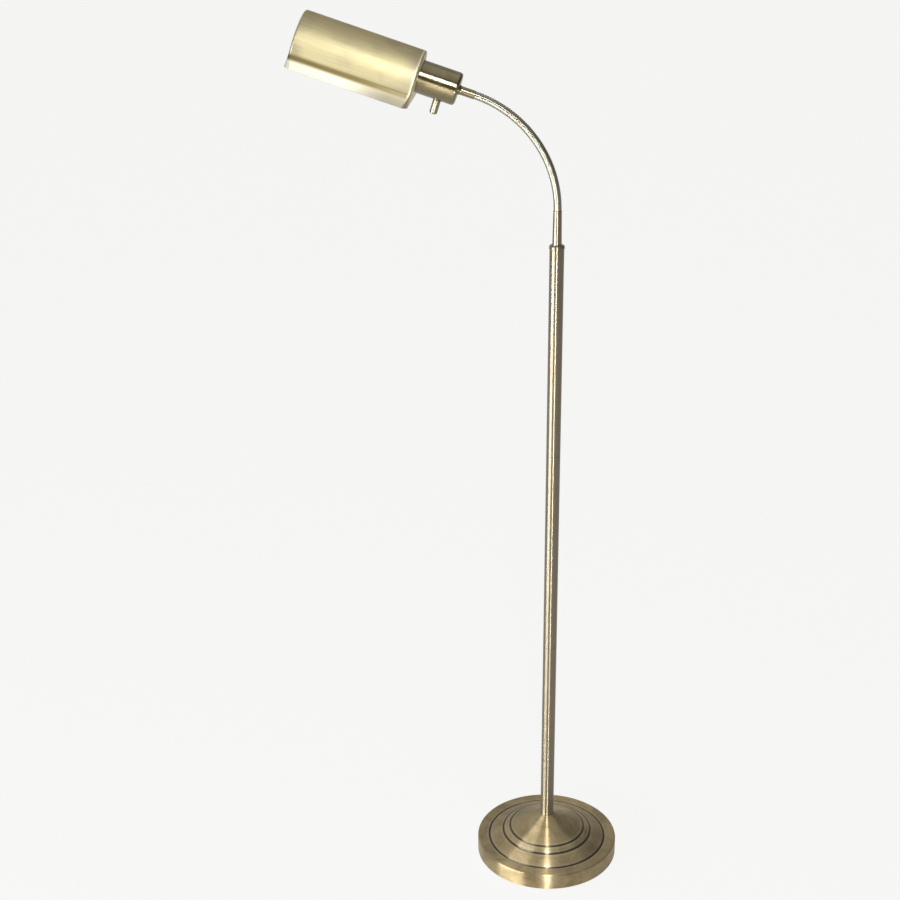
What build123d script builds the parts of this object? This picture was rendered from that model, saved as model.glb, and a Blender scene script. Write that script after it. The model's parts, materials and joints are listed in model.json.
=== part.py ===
"""Floor reading lamp: a weighted round base, a pole in three screwed lengths, a flexible
gooseneck, and a head made of a socket cup with a turn switch and a trough shade.

Z is up. The origin is the middle of the base's underside, and the head reaches along -X.
Lengths are in millimetres and angles in degrees.
"""
import os
from math import cos, degrees, radians, sin

from build123d import *

# Fits between pieces
thread_clearance = 0.05
slip_clearance = 0.1
turning_clearance = 0.05
wire_clearance = 0.4

# Base: a spun cover over a cast weight, on a felt pad
base_radius = 101.5
rim_height = 24.3
rim_round = 2.0
cover_wall = 1.5
cover_foot = 0.8
rim_width = 17.0
band_width = 20.5
step_width = 10.0
shoulder_rise = 9.7
step_rise = 6.0
cone_rise = 22.6
band_crown = 0.8
step_crown = 0.4
cone_hollow = 0.9
groove_size = 0.9
pad_thickness = 2.0
pad_inset = 1.0
weight_gap = 4.0
weight_recess_radius = 60.0
weight_recess_depth = 9.0
weight_boss_radius = 16.0
cord_channel_width = 9.0

# Cord inlet in the back of the base
inlet_height = 9.5
inlet_bore = 6.2
grommet_wall = 1.4
grommet_flange = 2.0
grommet_lip = 1.6

# Pole: three tubes joined by a bush in each foot and a stud in each head
pole_diameter = 19.0
pole_wall = 1.2
pole_section = 295.0
pole_socket_depth = 13.6
bush_length = 22.0
stud_plug = 16.0
stud_reach = 14.0
thread_diameter = 10.0
wire_bore = 6.6
washer_radius = 15.0
washer_thickness = 1.5
nut_across_flats = 15.0
nut_thickness = 5.0
nipple_tail = 1.0
cap_bead = 5.2
cap_overhang = 0.6
cap_top_round = 2.6
cap_foot_round = 0.65
cap_plug = 14.0
supply_lead_diameter = 5.2

# Gooseneck: a ribbed steel hose between two smooth ferrules
neck_radius = 152.0
neck_bend = 72.0
neck_segments = 19
ribs_per_segment = 3
neck_diameter = 10.3
rib_height = 0.75
rib_flank = 0.6
neck_gap = 0.7
neck_bore = 6.2
ferrule_chamfer = 0.6
lower_ferrule_length = 46.5
lower_ferrule_foot = 12.2
lower_ferrule_top = 10.9
upper_ferrule_length = 22.0
upper_ferrule_diameter = 11.0
upper_ferrule_collar = 13.4
upper_collar_length = 2.4
cup_tail = 8.0

# Socket cup, lamp socket and turn switch
cup_diameter = 41.8
cup_length = 52.0
cup_wall = 0.9
cup_round = 4.0
socket_depth = 20.5
lead_room = 4.5
switch_body_diameter = 34.0
cam_cavity_diameter = 13.0
cam_width = 7.0
cam_thickness = 5.0
cam_depth = 3.0
cam_round = 0.9
shaft_diameter = 4.0
switch_bush_wall = 1.6
switch_bush_lip = 1.2
switch_bush_reach = 1.8
knob_diameter = 10.0
knob_length = 18.2
knob_round = 2.2
knob_gap = 0.3
knob_socket_depth = 8.0
socket_wall = 2.2
socket_floor = 4.0
socket_reach = 9.5
shell_wall = 0.6
terminal_head_radius = 2.6
terminal_shank_radius = 1.5
lead_diameter = 1.8
lead_bend = 2.2
contact_radius = 4.0
contact_thickness = 0.8
contact_stem_radius = 1.5
shade_ring_radius = 21.0
shade_ring_thickness = 4.0

# Bulb: tubular, with a screw base
bulb_base_diameter = 26.0
bulb_base_length = 22.0
bulb_base_wall = 0.5
bulb_insulator_length = 2.4
bulb_tip_radius = 4.6
bulb_tip_height = 1.6
bulb_diameter = 32.0
bulb_glass_length = 112.0
bulb_shoulder = 14.0
bulb_wall = 1.0

# Shade: one drawn trough, arched above and flared all round its mouth
shade_length = 159.5
shade_wall = 0.9
shade_rise = 32.0
arch_radius = 40.0
crease_drop = 17.0
flare_drop = 15.5
side_flare = 10.0
end_flare = 0.5
shade_edge_round = 3.0
mouth_corner_round = 8.0
side_flare_power = 1.25
end_flare_power = 1.7
flare_sections = 5

# Places worked out from the sizes above
pole_radius = pole_diameter / 2
pole_bore_radius = pole_radius - pole_wall
thread_radius = thread_diameter / 2
thread_hole_radius = thread_radius + thread_clearance
wire_bore_radius = wire_bore / 2
outer_groove_radius = base_radius - rim_width
middle_groove_radius = outer_groove_radius - band_width
inner_groove_radius = middle_groove_radius - step_width
shoulder_height = rim_height + shoulder_rise
step_height = shoulder_height + step_rise
cone_height = step_height + cone_rise
pole_foot = cone_height - pole_socket_depth
pole_top = pole_foot + 3 * pole_section
weight_radius = base_radius - cover_wall - weight_gap
weight_top = rim_height - cover_wall
recess_top = pad_thickness + weight_recess_depth
neck_foot = pole_top + lower_ferrule_length
segment_angle = neck_bend / neck_segments
half_gap_angle = degrees(neck_gap / 2 / neck_radius)
crest_radius = neck_diameter / 2
groove_radius = crest_radius - rib_height
cup_radius = cup_diameter / 2
cup_bore_radius = cup_radius - cup_wall
shell_radius = bulb_base_diameter / 2 + wire_clearance + shell_wall
socket_radius = shell_radius + slip_clearance + socket_wall
tail_end = cup_tail - cup_length
switch_front = -socket_depth
switch_back = tail_end + lead_room
switch_behind_shade = -(switch_front + switch_back) / 2
socket_back = switch_front
socket_floor_front = socket_back + socket_floor
terminal_middle = socket_floor_front + terminal_head_radius
shade_start = slip_clearance
shade_inner_face = shade_start + shade_wall


def neck_plane(angle):
    """Cross-section of the neck, angle degrees along its bend from the lower ferrule."""
    turn = radians(angle)
    middle = (-neck_radius * (1 - cos(turn)), 0, neck_foot + neck_radius * sin(turn))
    return Plane(origin=middle, x_dir=(0, 1, 0), z_dir=(-sin(turn), 0, cos(turn)))


# The head's own frame: x runs out along the socket's axis from the cup's mouth, y is up
head_direction = neck_plane(neck_bend).z_dir
head_origin = neck_plane(neck_bend).origin + head_direction * (upper_ferrule_length + cup_length)
head_side = Plane(origin=head_origin, x_dir=head_direction, z_dir=(0, 1, 0))
head_axis = Axis(head_origin, head_direction)
head_section = Plane(origin=head_origin, x_dir=(0, -1, 0), z_dir=head_direction)
neck_axis = Axis((-neck_radius, 0, neck_foot), (0, -1, 0))

os.makedirs("parts", exist_ok=True)


def save(piece, name):
    piece.label = name
    export_step(piece, f"parts/{name}.step")


def turned(name, outline, plane=Plane.XZ, axis=Axis.Z):
    """A piece turned about an axis, from the closed outline of its half section."""
    with BuildPart() as piece:
        with BuildSketch(plane):
            with BuildLine():
                Polyline(*outline, close=True)
            make_face()
        revolve(axis=axis)
    save(piece.part, name)


def tube(name, outer, inner, bottom, top):
    """An upright tube on the pole's axis."""
    turned(name, [(inner, bottom), (outer, bottom), (outer, top), (inner, top)])


def dome_outline(wall):
    """Half section of the base cover's outer form, drawn in and lowered by the wall."""
    edge = base_radius - wall
    rim = rim_height - wall
    shoulder = shoulder_height - wall
    step = step_height - wall
    peak = cone_height - wall
    hole = pole_radius + slip_clearance
    with BuildLine() as outline:
        Line((hole, cover_foot), (edge, cover_foot))
        Line((edge, cover_foot), (edge, rim - rim_round))
        RadiusArc((edge, rim - rim_round), (edge - rim_round, rim), -rim_round)
        Line((edge - rim_round, rim), (outer_groove_radius, rim))
        SagittaArc((outer_groove_radius, rim), (middle_groove_radius, shoulder), -band_crown)
        SagittaArc((middle_groove_radius, shoulder), (inner_groove_radius, step), -step_crown)
        SagittaArc((inner_groove_radius, step), (hole, peak), cone_hollow)
        Line((hole, peak), (hole, cover_foot))
    return outline.line


def base_cover():
    """Spun steel shell with a rim, two sloping bands and a cone that the pole stands in."""
    with BuildPart() as cover:
        with BuildSketch(Plane.XZ):
            make_face(dome_outline(0).edges())
        revolve(axis=Axis.Z)
        with BuildSketch(Plane.XZ):
            make_face(dome_outline(cover_wall).edges())
        revolve(axis=Axis.Z, mode=Mode.SUBTRACT)
        with BuildSketch(Plane.XZ):
            with Locations(
                (outer_groove_radius, rim_height),
                (middle_groove_radius, shoulder_height),
                (inner_groove_radius, step_height),
            ):
                Circle(groove_size)
        revolve(axis=Axis.Z, mode=Mode.SUBTRACT)
        with BuildSketch(Plane.XZ.offset(-base_radius)):
            with Locations((0, inlet_height)):
                Circle(inlet_bore / 2 + grommet_wall)
        extrude(amount=2 * cover_wall, both=True, mode=Mode.SUBTRACT)
    save(cover.part, "base_cover")


def base_weight():
    """Cast iron disc with a boss under the pole, a recess below and a channel for the cord."""
    channel_length = weight_radius - weight_recess_radius + cord_channel_width / 2
    with BuildPart() as weight:
        with BuildSketch(Plane.XZ):
            with BuildLine():
                Polyline(
                    (thread_hole_radius, recess_top),
                    (weight_recess_radius, recess_top),
                    (weight_recess_radius, pad_thickness),
                    (weight_radius, pad_thickness),
                    (weight_radius, weight_top),
                    (weight_boss_radius, weight_top),
                    (weight_boss_radius, pole_foot),
                    (thread_hole_radius, pole_foot),
                    close=True,
                )
            make_face()
        revolve(axis=Axis.Z)
        with BuildSketch(Plane.XY.offset(pad_thickness)):
            with Locations((0, weight_radius)):
                Rectangle(cord_channel_width, 2 * channel_length)
        extrude(amount=weight_recess_depth, mode=Mode.SUBTRACT)
    save(weight.part, "base_weight")


def base_pad():
    with BuildPart() as pad:
        with BuildSketch():
            Circle(base_radius - cover_wall - pad_inset)
        extrude(amount=pad_thickness)
    save(pad.part, "base_pad")


def cord_grommet():
    """Flanged bush that lines the cord's hole in the back of the cover."""
    bore = inlet_bore / 2
    body = bore + grommet_wall - slip_clearance
    flange = bore + grommet_wall + grommet_flange
    inner_wall = base_radius - cover_wall
    inner_face = (inner_wall**2 - flange**2) ** 0.5 - slip_clearance
    outline = [
        (inner_face - grommet_lip, bore),
        (inner_face - grommet_lip, flange),
        (inner_face, flange),
        (inner_face, body),
        (base_radius, body),
        (base_radius, flange),
        (base_radius + grommet_lip, flange - grommet_lip / 2),
        (base_radius + grommet_lip, bore),
    ]
    plane = Plane(origin=(0, 0, inlet_height), x_dir=(0, 1, 0), z_dir=(1, 0, 0))
    turned("cord_grommet", outline, plane, Axis((0, 0, inlet_height), (0, 1, 0)))


def hex_nut(name, plane, thickness):
    """Hexagon locknut standing on a plane that crosses its thread's axis."""
    with BuildPart() as nut:
        with BuildSketch(plane):
            RegularPolygon(nut_across_flats / 2, 6, major_radius=False)
            Circle(thread_hole_radius, mode=Mode.SUBTRACT)
        extrude(amount=thickness)
    save(nut.part, name)


def pole_fixing():
    """Hollow threaded nipple that clamps the pole to the weight, with its washer and nut."""
    nut_bottom = recess_top - washer_thickness - nut_thickness
    nipple_foot = nut_bottom - nipple_tail
    tube("pole_nipple", thread_radius, wire_bore_radius, nipple_foot, pole_foot + bush_length)
    tube("base_washer", washer_radius, thread_hole_radius, recess_top - washer_thickness, recess_top)
    hex_nut("base_locknut", Plane.XY.offset(nut_bottom), nut_thickness)


def pole():
    """Three tubes, the bush in each foot, the stud in each of the lower two heads, and the cap."""
    plug_radius = pole_bore_radius - turning_clearance
    for index, name in enumerate(("lower", "middle", "upper")):
        foot = pole_foot + index * pole_section
        top = foot + pole_section
        if name == "upper":
            top -= cap_bead
        tube(f"pole_{name}", pole_radius, pole_bore_radius, foot, top)
        tube(f"pole_bush_{name}", plug_radius, thread_hole_radius, foot, foot + bush_length)
        if name != "upper":
            outline = [
                (wire_bore_radius, top - stud_plug),
                (plug_radius, top - stud_plug),
                (plug_radius, top),
                (thread_radius, top),
                (thread_radius, top + stud_reach),
                (wire_bore_radius, top + stud_reach),
            ]
            turned(f"pole_stud_{name}", outline)


def pole_cap():
    """Turned reducer: a rounded bead on the pole's top, a plug in its bore and a threaded hole."""
    bead_foot = pole_top - cap_bead
    bead_radius = pole_radius + cap_overhang
    plug_radius = pole_bore_radius - turning_clearance
    with BuildPart() as cap:
        with BuildSketch(Plane.XZ):
            with BuildLine():
                Polyline(
                    (thread_hole_radius, bead_foot - cap_plug),
                    (plug_radius, bead_foot - cap_plug),
                    (plug_radius, bead_foot),
                    (bead_radius, bead_foot),
                    (bead_radius, pole_top),
                    (thread_hole_radius, pole_top),
                    close=True,
                )
            make_face()
        revolve(axis=Axis.Z)
        bead_edges = cap.edges().filter_by(GeomType.CIRCLE).sort_by(SortBy.RADIUS)[-2:]
        fillet(bead_edges.sort_by(Axis.Z)[0], cap_foot_round)
        fillet(cap.faces().sort_by(Axis.Z)[-1].edges().sort_by(SortBy.RADIUS)[-1], cap_top_round)
    save(cap.part, "pole_cap")


def neck_ferrules():
    """Smooth hose ends: the lower screws into the pole's cap, the upper into the socket cup."""
    bore = neck_bore / 2
    top = neck_foot - neck_gap / 2
    rim = lower_ferrule_top / 2
    lower = [
        (bore, pole_top - cap_bead - cap_plug),
        (thread_radius, pole_top - cap_bead - cap_plug),
        (thread_radius, pole_top),
        (lower_ferrule_foot / 2, pole_top),
        (rim, top - ferrule_chamfer),
        (rim - ferrule_chamfer, top),
        (bore, top),
    ]
    turned("neck_ferrule_lower", lower)
    back = -cup_length
    start = back - upper_ferrule_length + neck_gap / 2
    barrel = upper_ferrule_diameter / 2
    upper = [
        (start, bore),
        (start, barrel - ferrule_chamfer),
        (start + ferrule_chamfer, barrel),
        (back - upper_collar_length, barrel),
        (back, upper_ferrule_collar / 2),
        (back, thread_radius),
        (back + cup_tail, thread_radius),
        (back + cup_tail, bore),
    ]
    turned("neck_ferrule_upper", upper, head_side, head_axis)


def rib_circles(first_angle, last_angle):
    """The four circles of one rib: groove, crest, crest and groove, each with its angle."""
    flank_angle = degrees(rib_flank / neck_radius)
    start = first_angle + half_gap_angle
    end = last_angle - half_gap_angle
    return [
        (start, groove_radius),
        (start + flank_angle, crest_radius),
        (end - flank_angle, crest_radius),
        (end, groove_radius),
    ]


def neck_segment(index):
    """One short length of the ribbed hose, curved as it stands, with the hose's bore."""
    rib_angle = segment_angle / ribs_per_segment
    foot_angle = index * segment_angle
    with BuildPart() as segment:
        for rib in range(ribs_per_segment):
            first = foot_angle + rib * rib_angle
            for angle, radius in rib_circles(first, first + rib_angle):
                with BuildSketch(neck_plane(angle)):
                    Circle(radius)
        loft(ruled=True)
        with BuildSketch(neck_plane(foot_angle)):
            Circle(neck_bore / 2)
        revolve(axis=neck_axis, revolution_arc=segment_angle, mode=Mode.SUBTRACT)
    save(segment.part, f"neck_{index + 1:02d}")


def supply_lead():
    """The lead inside the pole, from the base's recess to the foot of the gooseneck."""
    with BuildPart() as lead:
        with BuildSketch(Plane.XY.offset(pad_thickness + nipple_tail)):
            Circle(supply_lead_diameter / 2)
        extrude(amount=neck_foot - neck_gap - pad_thickness - nipple_tail)
    save(lead.part, "supply_lead")


def socket_cup():
    """Drawn cup with a rounded back, open at the shade's end, with a hole for the switch."""
    with BuildPart() as cup:
        with BuildSketch(head_section.offset(-cup_length)):
            Circle(cup_radius)
        extrude(amount=cup_length)
        fillet(cup.faces().sort_by(head_axis)[0].edges(), cup_round)
        offset(amount=-cup_wall, openings=cup.faces().sort_by(head_axis)[-1])
        with BuildSketch(head_section.offset(-cup_length)):
            Circle(thread_hole_radius)
        extrude(amount=2 * cup_wall, mode=Mode.SUBTRACT)
        with BuildSketch(switch_plane(cup_radius)):
            Circle(switch_bush_radius)
        extrude(amount=-cup_radius, mode=Mode.SUBTRACT)
    save(cup.part, "socket_cup")


def cup_locknut():
    hex_nut("cup_locknut", head_section.offset(cup_wall - cup_length), nut_thickness)


# The switch's spindle crosses the socket's axis, so its pieces are placed by their drop below it
shaft_radius = shaft_diameter / 2
switch_bush_radius = shaft_radius + turning_clearance + switch_bush_wall
switch_side = Plane(
    origin=head_origin - head_direction * switch_behind_shade,
    x_dir=-head_side.y_dir,
    z_dir=(0, 1, 0),
)
switch_axis = Axis(switch_side.origin, switch_side.x_dir)


def switch_plane(drop):
    """Plane across the switch's spindle, at a drop below the socket's axis, facing down."""
    down = switch_side.x_dir
    return Plane(origin=switch_side.origin + down * drop, x_dir=(0, 1, 0), z_dir=down)


def switch_body():
    """Moulded block behind the socket, with the round cavity that the cam turns in."""
    with BuildPart() as body:
        with BuildSketch(head_section.offset(switch_back)):
            Circle(switch_body_diameter / 2)
        extrude(amount=switch_front - switch_back)
        with BuildSketch(switch_plane(cam_depth - wire_clearance)):
            Circle(cam_cavity_diameter / 2)
        extrude(amount=switch_body_diameter, mode=Mode.SUBTRACT)
    save(body.part, "switch_body")


def switch_spindle():
    """Bush in the cup's wall, and the shaft, cam and knob that turn in it."""
    inner = shaft_radius + turning_clearance
    lip = switch_bush_radius + switch_bush_lip
    wall_inside = (cup_bore_radius**2 - lip**2) ** 0.5 - slip_clearance
    outside = cup_radius
    bush = [
        (wall_inside - switch_bush_reach, inner),
        (wall_inside - switch_bush_reach, lip),
        (wall_inside, lip),
        (wall_inside, switch_bush_radius - turning_clearance),
        (outside, switch_bush_radius - turning_clearance),
        (outside, inner),
    ]
    turned("switch_bush", bush, switch_side, switch_axis)
    knob_top = cup_radius + knob_gap
    shaft_end = knob_top + knob_socket_depth
    cam_end = cam_depth + cam_thickness
    shaft = [(cam_end, 0), (cam_end, shaft_radius), (shaft_end, shaft_radius), (shaft_end, 0)]
    turned("switch_shaft", shaft, switch_side, switch_axis)
    with BuildPart() as cam:
        with BuildSketch(switch_plane(cam_depth)):
            Rectangle(cam_width, cam_width)
        extrude(amount=cam_thickness)
        fillet(cam.edges().filter_by(switch_axis), cam_round)
    save(cam.part, "switch_cam")
    with BuildPart() as knob:
        with BuildSketch(switch_plane(knob_top)):
            Circle(knob_diameter / 2)
        extrude(amount=knob_length)
        fillet(knob.faces().sort_by(switch_axis)[-1].edges(), knob_round)
        with BuildSketch(switch_plane(knob_top)):
            Circle(shaft_radius)
        extrude(amount=knob_socket_depth, mode=Mode.SUBTRACT)
    save(knob.part, "switch_knob")


def socket_body():
    """Insulating socket: a floor against the switch and a sleeve that passes through the shade."""
    inner = shell_radius + slip_clearance
    outline = [
        (socket_back, contact_stem_radius),
        (socket_back, socket_radius),
        (socket_reach, socket_radius),
        (socket_reach, inner),
        (socket_floor_front, inner),
        (socket_floor_front, contact_stem_radius),
    ]
    with BuildPart() as body:
        with BuildSketch(head_side):
            with BuildLine():
                Polyline(*outline, close=True)
            make_face()
        revolve(axis=head_axis)
        with BuildSketch(Plane(origin=head_origin + head_direction * terminal_middle, z_dir=(0, 1, 0))):
            Circle(terminal_shank_radius)
        extrude(amount=socket_radius, both=True, mode=Mode.SUBTRACT)
    save(body.part, "socket_body")
    shell = [
        (socket_floor_front, shell_radius - shell_wall),
        (socket_floor_front, shell_radius),
        (socket_reach, shell_radius),
        (socket_reach, shell_radius - shell_wall),
    ]
    turned("screw_shell", shell, head_side, head_axis)
    contact_face = socket_floor_front + contact_thickness
    contact = [
        (socket_back, 0),
        (socket_back, contact_stem_radius),
        (socket_floor_front, contact_stem_radius),
        (socket_floor_front, contact_radius),
        (contact_face, contact_radius),
        (contact_face, 0),
    ]
    turned("centre_contact", contact, head_side, head_axis)


def shade_ring():
    """Threaded ring on the socket's sleeve that holds the shade's end against the cup."""
    back = shade_inner_face + slip_clearance
    outline = [
        (back, socket_radius + thread_clearance),
        (back, shade_ring_radius),
        (back + shade_ring_thickness, shade_ring_radius),
        (back + shade_ring_thickness, socket_radius + thread_clearance),
    ]
    turned("shade_ring", outline, head_side, head_axis)


def bulb():
    """Tubular lamp bulb: screw base, insulator, contact tip and glass envelope."""
    tip_start = socket_floor_front + contact_thickness
    insulator_start = tip_start + bulb_tip_height
    base_start = insulator_start + bulb_insulator_length
    base_end = base_start + bulb_base_length
    screw_radius = bulb_base_diameter / 2
    screw_bore = screw_radius - bulb_base_wall
    tip = [
        (tip_start, 0),
        (tip_start, bulb_tip_radius - bulb_tip_height),
        (insulator_start, bulb_tip_radius),
        (insulator_start, 0),
    ]
    turned("bulb_tip", tip, head_side, head_axis)
    insulator = [
        (insulator_start, 0),
        (insulator_start, bulb_tip_radius + bulb_insulator_length),
        (base_start, screw_bore),
        (base_start, 0),
    ]
    turned("bulb_insulator", insulator, head_side, head_axis)
    screw = [
        (base_start, screw_bore),
        (base_start, screw_radius),
        (base_end, screw_radius),
        (base_end, screw_bore),
    ]
    turned("bulb_base", screw, head_side, head_axis)
    shoulder_end = base_end + bulb_shoulder
    glass_end = base_end + bulb_glass_length
    neck = screw_bore
    body = bulb_diameter / 2
    with BuildPart() as glass:
        with BuildSketch(head_side):
            with BuildLine():
                Polyline((glass_end, 0), (base_end, 0), (base_end, neck))
                Spline((base_end, neck), (shoulder_end, body), tangents=((1, 0), (1, 0)))
                Line((shoulder_end, body), (glass_end - body, body))
                RadiusArc((glass_end - body, body), (glass_end, 0), body)
            make_face()
        revolve(axis=head_axis)
        offset(amount=-bulb_wall, openings=glass.faces().sort_by(head_axis)[0])
    save(glass.part, "bulb_glass")


def terminals():
    """Two screws in the socket's sides, and the two leads that run to them from the neck."""
    lead_radius = lead_diameter / 2
    run = max(switch_body_diameter / 2, socket_radius) + wire_clearance + lead_radius
    with BuildPart() as screws:
        for side in (1, -1):
            face = Plane(
                origin=head_origin + head_direction * terminal_middle,
                x_dir=head_direction,
                z_dir=(0, side, 0),
            )
            with BuildSketch(face.offset(socket_radius - socket_wall)):
                Circle(terminal_shank_radius)
            extrude(amount=socket_wall)
            with BuildSketch(face.offset(socket_radius)):
                Circle(terminal_head_radius)
            extrude(amount=run - lead_radius - socket_radius)
    save(screws.part, "terminal_screws")
    turn = (tail_end + switch_back) / 2
    start = tail_end - lead_diameter
    aside = lead_radius + wire_clearance / 2
    plan = Plane(origin=head_origin, x_dir=head_direction, z_dir=-head_side.y_dir)
    with BuildPart() as leads:
        for side in (1, -1):
            with BuildLine(plan) as route:
                FilletPolyline(
                    (start, side * aside),
                    (turn, side * aside),
                    (turn, side * run),
                    (terminal_middle, side * run),
                    radius=lead_bend,
                )
            with BuildSketch(Plane(origin=route.line @ 0, z_dir=route.line % 0)):
                Circle(lead_radius)
            sweep(path=route.line)
    save(leads.part, "socket_leads")


def shade_form(wall):
    """The shade's outer form or, drawn in by its wall, the hollow inside it."""
    side = arch_radius - wall
    arch_middle = shade_rise - arch_radius
    length = shade_length - 2 * wall
    middle = head_origin + head_direction * (shade_start + shade_length / 2)
    up = head_side.y_dir
    below_cup = max(0, (cup_radius - crease_drop) / flare_drop)
    with BuildPart() as form:
        with BuildSketch(head_section.offset(shade_start + wall)):
            with BuildLine():
                Polyline(
                    (side, arch_middle),
                    (side, -crease_drop),
                    (-side, -crease_drop),
                    (-side, arch_middle),
                )
                ThreePointArc((-side, arch_middle), (0, arch_middle + side), (side, arch_middle))
            make_face()
        extrude(amount=length)
        ends = form.faces().filter_by(head_axis)
        fillet(ends.edges().filter_by(Axis.Y, reverse=True), shade_edge_round - wall)
        for index in range(flare_sections):
            part_way = index / (flare_sections - 1)
            spread = part_way**side_flare_power
            end_spread = max(0, (part_way - below_cup) / (1 - below_cup)) ** end_flare_power
            level = Plane(
                origin=middle - up * (crease_drop + flare_drop * part_way),
                x_dir=head_direction,
                z_dir=up,
            )
            corner = shade_edge_round + (mouth_corner_round - shade_edge_round) * spread - wall
            with BuildSketch(level):
                RectangleRounded(
                    length + 2 * end_flare * end_spread,
                    2 * (side + side_flare * spread),
                    corner,
                )
        loft()
    return form.part


def shade():
    """One drawn sheet: arched top, closed ends and a flared mouth, with a hole for the socket."""
    with BuildPart() as trough:
        add(shade_form(0))
        add(shade_form(shade_wall), mode=Mode.SUBTRACT)
        with BuildSketch(head_section):
            Circle(socket_radius + slip_clearance)
        extrude(amount=shade_inner_face + slip_clearance, mode=Mode.SUBTRACT)
    save(trough.part, "shade")


base_cover()
base_weight()
base_pad()
cord_grommet()
pole_fixing()
pole()
pole_cap()
neck_ferrules()
for segment_index in range(neck_segments):
    neck_segment(segment_index)
supply_lead()
socket_cup()
cup_locknut()
switch_body()
switch_spindle()
socket_body()
shade_ring()
bulb()
terminals()
shade()
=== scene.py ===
"""Looks of the floor reading lamp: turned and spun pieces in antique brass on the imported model's bodies.

Sizes are in millimetres unless a name says otherwise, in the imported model's frame: Z is up, the origin
is under the middle of the base, and the head reaches along -X.
"""
import json
from math import cos, pi, radians, sin

import bmesh
import bpy
from mathutils import Euler, Matrix, Vector


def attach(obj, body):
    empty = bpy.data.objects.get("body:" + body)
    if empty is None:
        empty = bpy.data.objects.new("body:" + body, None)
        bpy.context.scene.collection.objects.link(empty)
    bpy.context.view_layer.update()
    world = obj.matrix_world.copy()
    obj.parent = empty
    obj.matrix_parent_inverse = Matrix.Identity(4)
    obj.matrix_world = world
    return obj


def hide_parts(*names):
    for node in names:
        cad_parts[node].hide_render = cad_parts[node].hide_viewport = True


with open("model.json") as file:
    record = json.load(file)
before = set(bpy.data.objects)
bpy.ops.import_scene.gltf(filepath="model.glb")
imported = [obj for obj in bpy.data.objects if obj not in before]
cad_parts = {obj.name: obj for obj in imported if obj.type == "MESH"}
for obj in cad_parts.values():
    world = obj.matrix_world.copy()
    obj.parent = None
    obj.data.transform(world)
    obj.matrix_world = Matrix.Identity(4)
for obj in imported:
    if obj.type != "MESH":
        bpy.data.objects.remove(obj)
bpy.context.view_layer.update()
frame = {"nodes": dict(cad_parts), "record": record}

MM = 0.001

# Base, and the cord's inlet in its back
base_radius = 101.5
cover_bore = 100.0
cover_foot = 0.8
rim_height = 24.3
outer_groove, middle_groove, inner_groove = 84.5, 64.0, 54.0
pole_hole = 9.6
pad_radius = 99.0
pad_thickness = 2.0
inlet_height = 9.5
inlet_hole = 4.5
grommet_bore = 3.1
grommet_waist = 4.4
grommet_radius = 6.5
grommet_inside = 98.1
grommet_outside = 103.1

# Pole of three screwed tubes, with its cap
pole_foot = 49.0
pole_section = 295.0
pole_radius = 9.5
pole_bore = 8.3
pole_top = 934.0
cap_bead = 5.2
cap_plug = 14.0
cap_radius = 10.1
plug_radius = 8.25
thread_hole = 5.05

# Neck: one arc of ribbed hose between two ferrules
neck_foot = 980.5
neck_radius = 152.0
neck_bend = 72.0
hose_lengths = 19
ribs_per_length = 3
hose_bore = 4.35
spigot_radius = 4.0
spigot_bore = 3.5
upper_ferrule = 22.0
ferrule_radius = 5.5
ferrule_recess = 4.4
ferrule_room = 0.35
ferrule_bore = 3.1
ferrule_thread = 5.0

# Head: socket cup, sleeve, shade ring and bulb, measured along the socket's axis from the cup's mouth
cup_length = 52.0
cup_radius = 20.9
cup_bore = 20.0
cup_wall = 0.9
sleeve_radius = 16.3
sleeve_bore = 14.1
sleeve_back = -20.5
sleeve_floor = -16.5
sleeve_front = 9.5
sleeve_hole = 16.4
contact_hole = 1.5
ring_radius = 21.0
ring_bore = 16.35
ring_back = 1.1
ring_front = 5.1
bulb_radius = 16.0
bulb_neck = 12.5
bulb_wall = 1.0
bulb_start = 10.3
bulb_end = 122.3

# Switch knob, measured down its own axis from the socket's axis
switch_behind_shade = 30.0
switch_hole = 3.75
knob_radius = 5.0
knob_bore = 2.0
knob_start = 21.2
knob_bore_end = 29.2
knob_end = 39.4

# Shade: a half-round arch, straight sides down to a crease, and a flared lip below it
shade_start = 0.1
shade_end = 159.6
shade_wall = 0.9
arch_radius = 40.0
arch_drop = 8.0
crease_drop = 17.0
flare_drop = 15.5
side_flare = 10.0
end_flare = 0.5
shade_edge_round = 3.0
mouth_corner_round = 8.0
side_flare_power = 1.25
end_flare_power = 1.7

# Smoothness of the meshes
round_steps = 6
large_turn = 256
cup_turn = 160
small_turn = 96
hose_turn = 48
arch_turn = 64
flare_steps = 10
sharp_angle = radians(38)
weld = 0.002

# The head's frame: out along the socket's axis, and up across it
bend = radians(neck_bend)
head_out = Vector((-sin(bend), 0, cos(bend)))
head_up = Vector((cos(bend), 0, sin(bend)))
near_side = Vector((0, -1, 0))
neck_end = Vector((-neck_radius * (1 - cos(bend)), 0, neck_foot + neck_radius * sin(bend))) * MM
cup_mouth = neck_end + head_out * (upper_ferrule + cup_length) * MM
switch_middle = cup_mouth - head_out * switch_behind_shade * MM
bend_middle = Vector((-neck_radius, 0, neck_foot)) * MM


def placed(x_axis, y_axis, z_axis, origin):
    """The matrix that carries a piece made at the origin to its own axes and place."""
    turn = Matrix((x_axis, y_axis, z_axis)).transposed().to_4x4()
    return Matrix.Translation(origin) @ turn


upright = Matrix.Identity(4)
along_head = placed(head_up, -near_side, head_out, cup_mouth)
along_shade = placed(head_out, near_side, head_up, cup_mouth)
down_switch = placed(head_out, -near_side, -head_up, switch_middle)
inlet_middle = Vector((0, 0, inlet_height)) * MM
out_of_inlet = placed(Vector((1, 0, 0)), Vector((0, 0, -1)), Vector((0, 1, 0)), inlet_middle)


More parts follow.
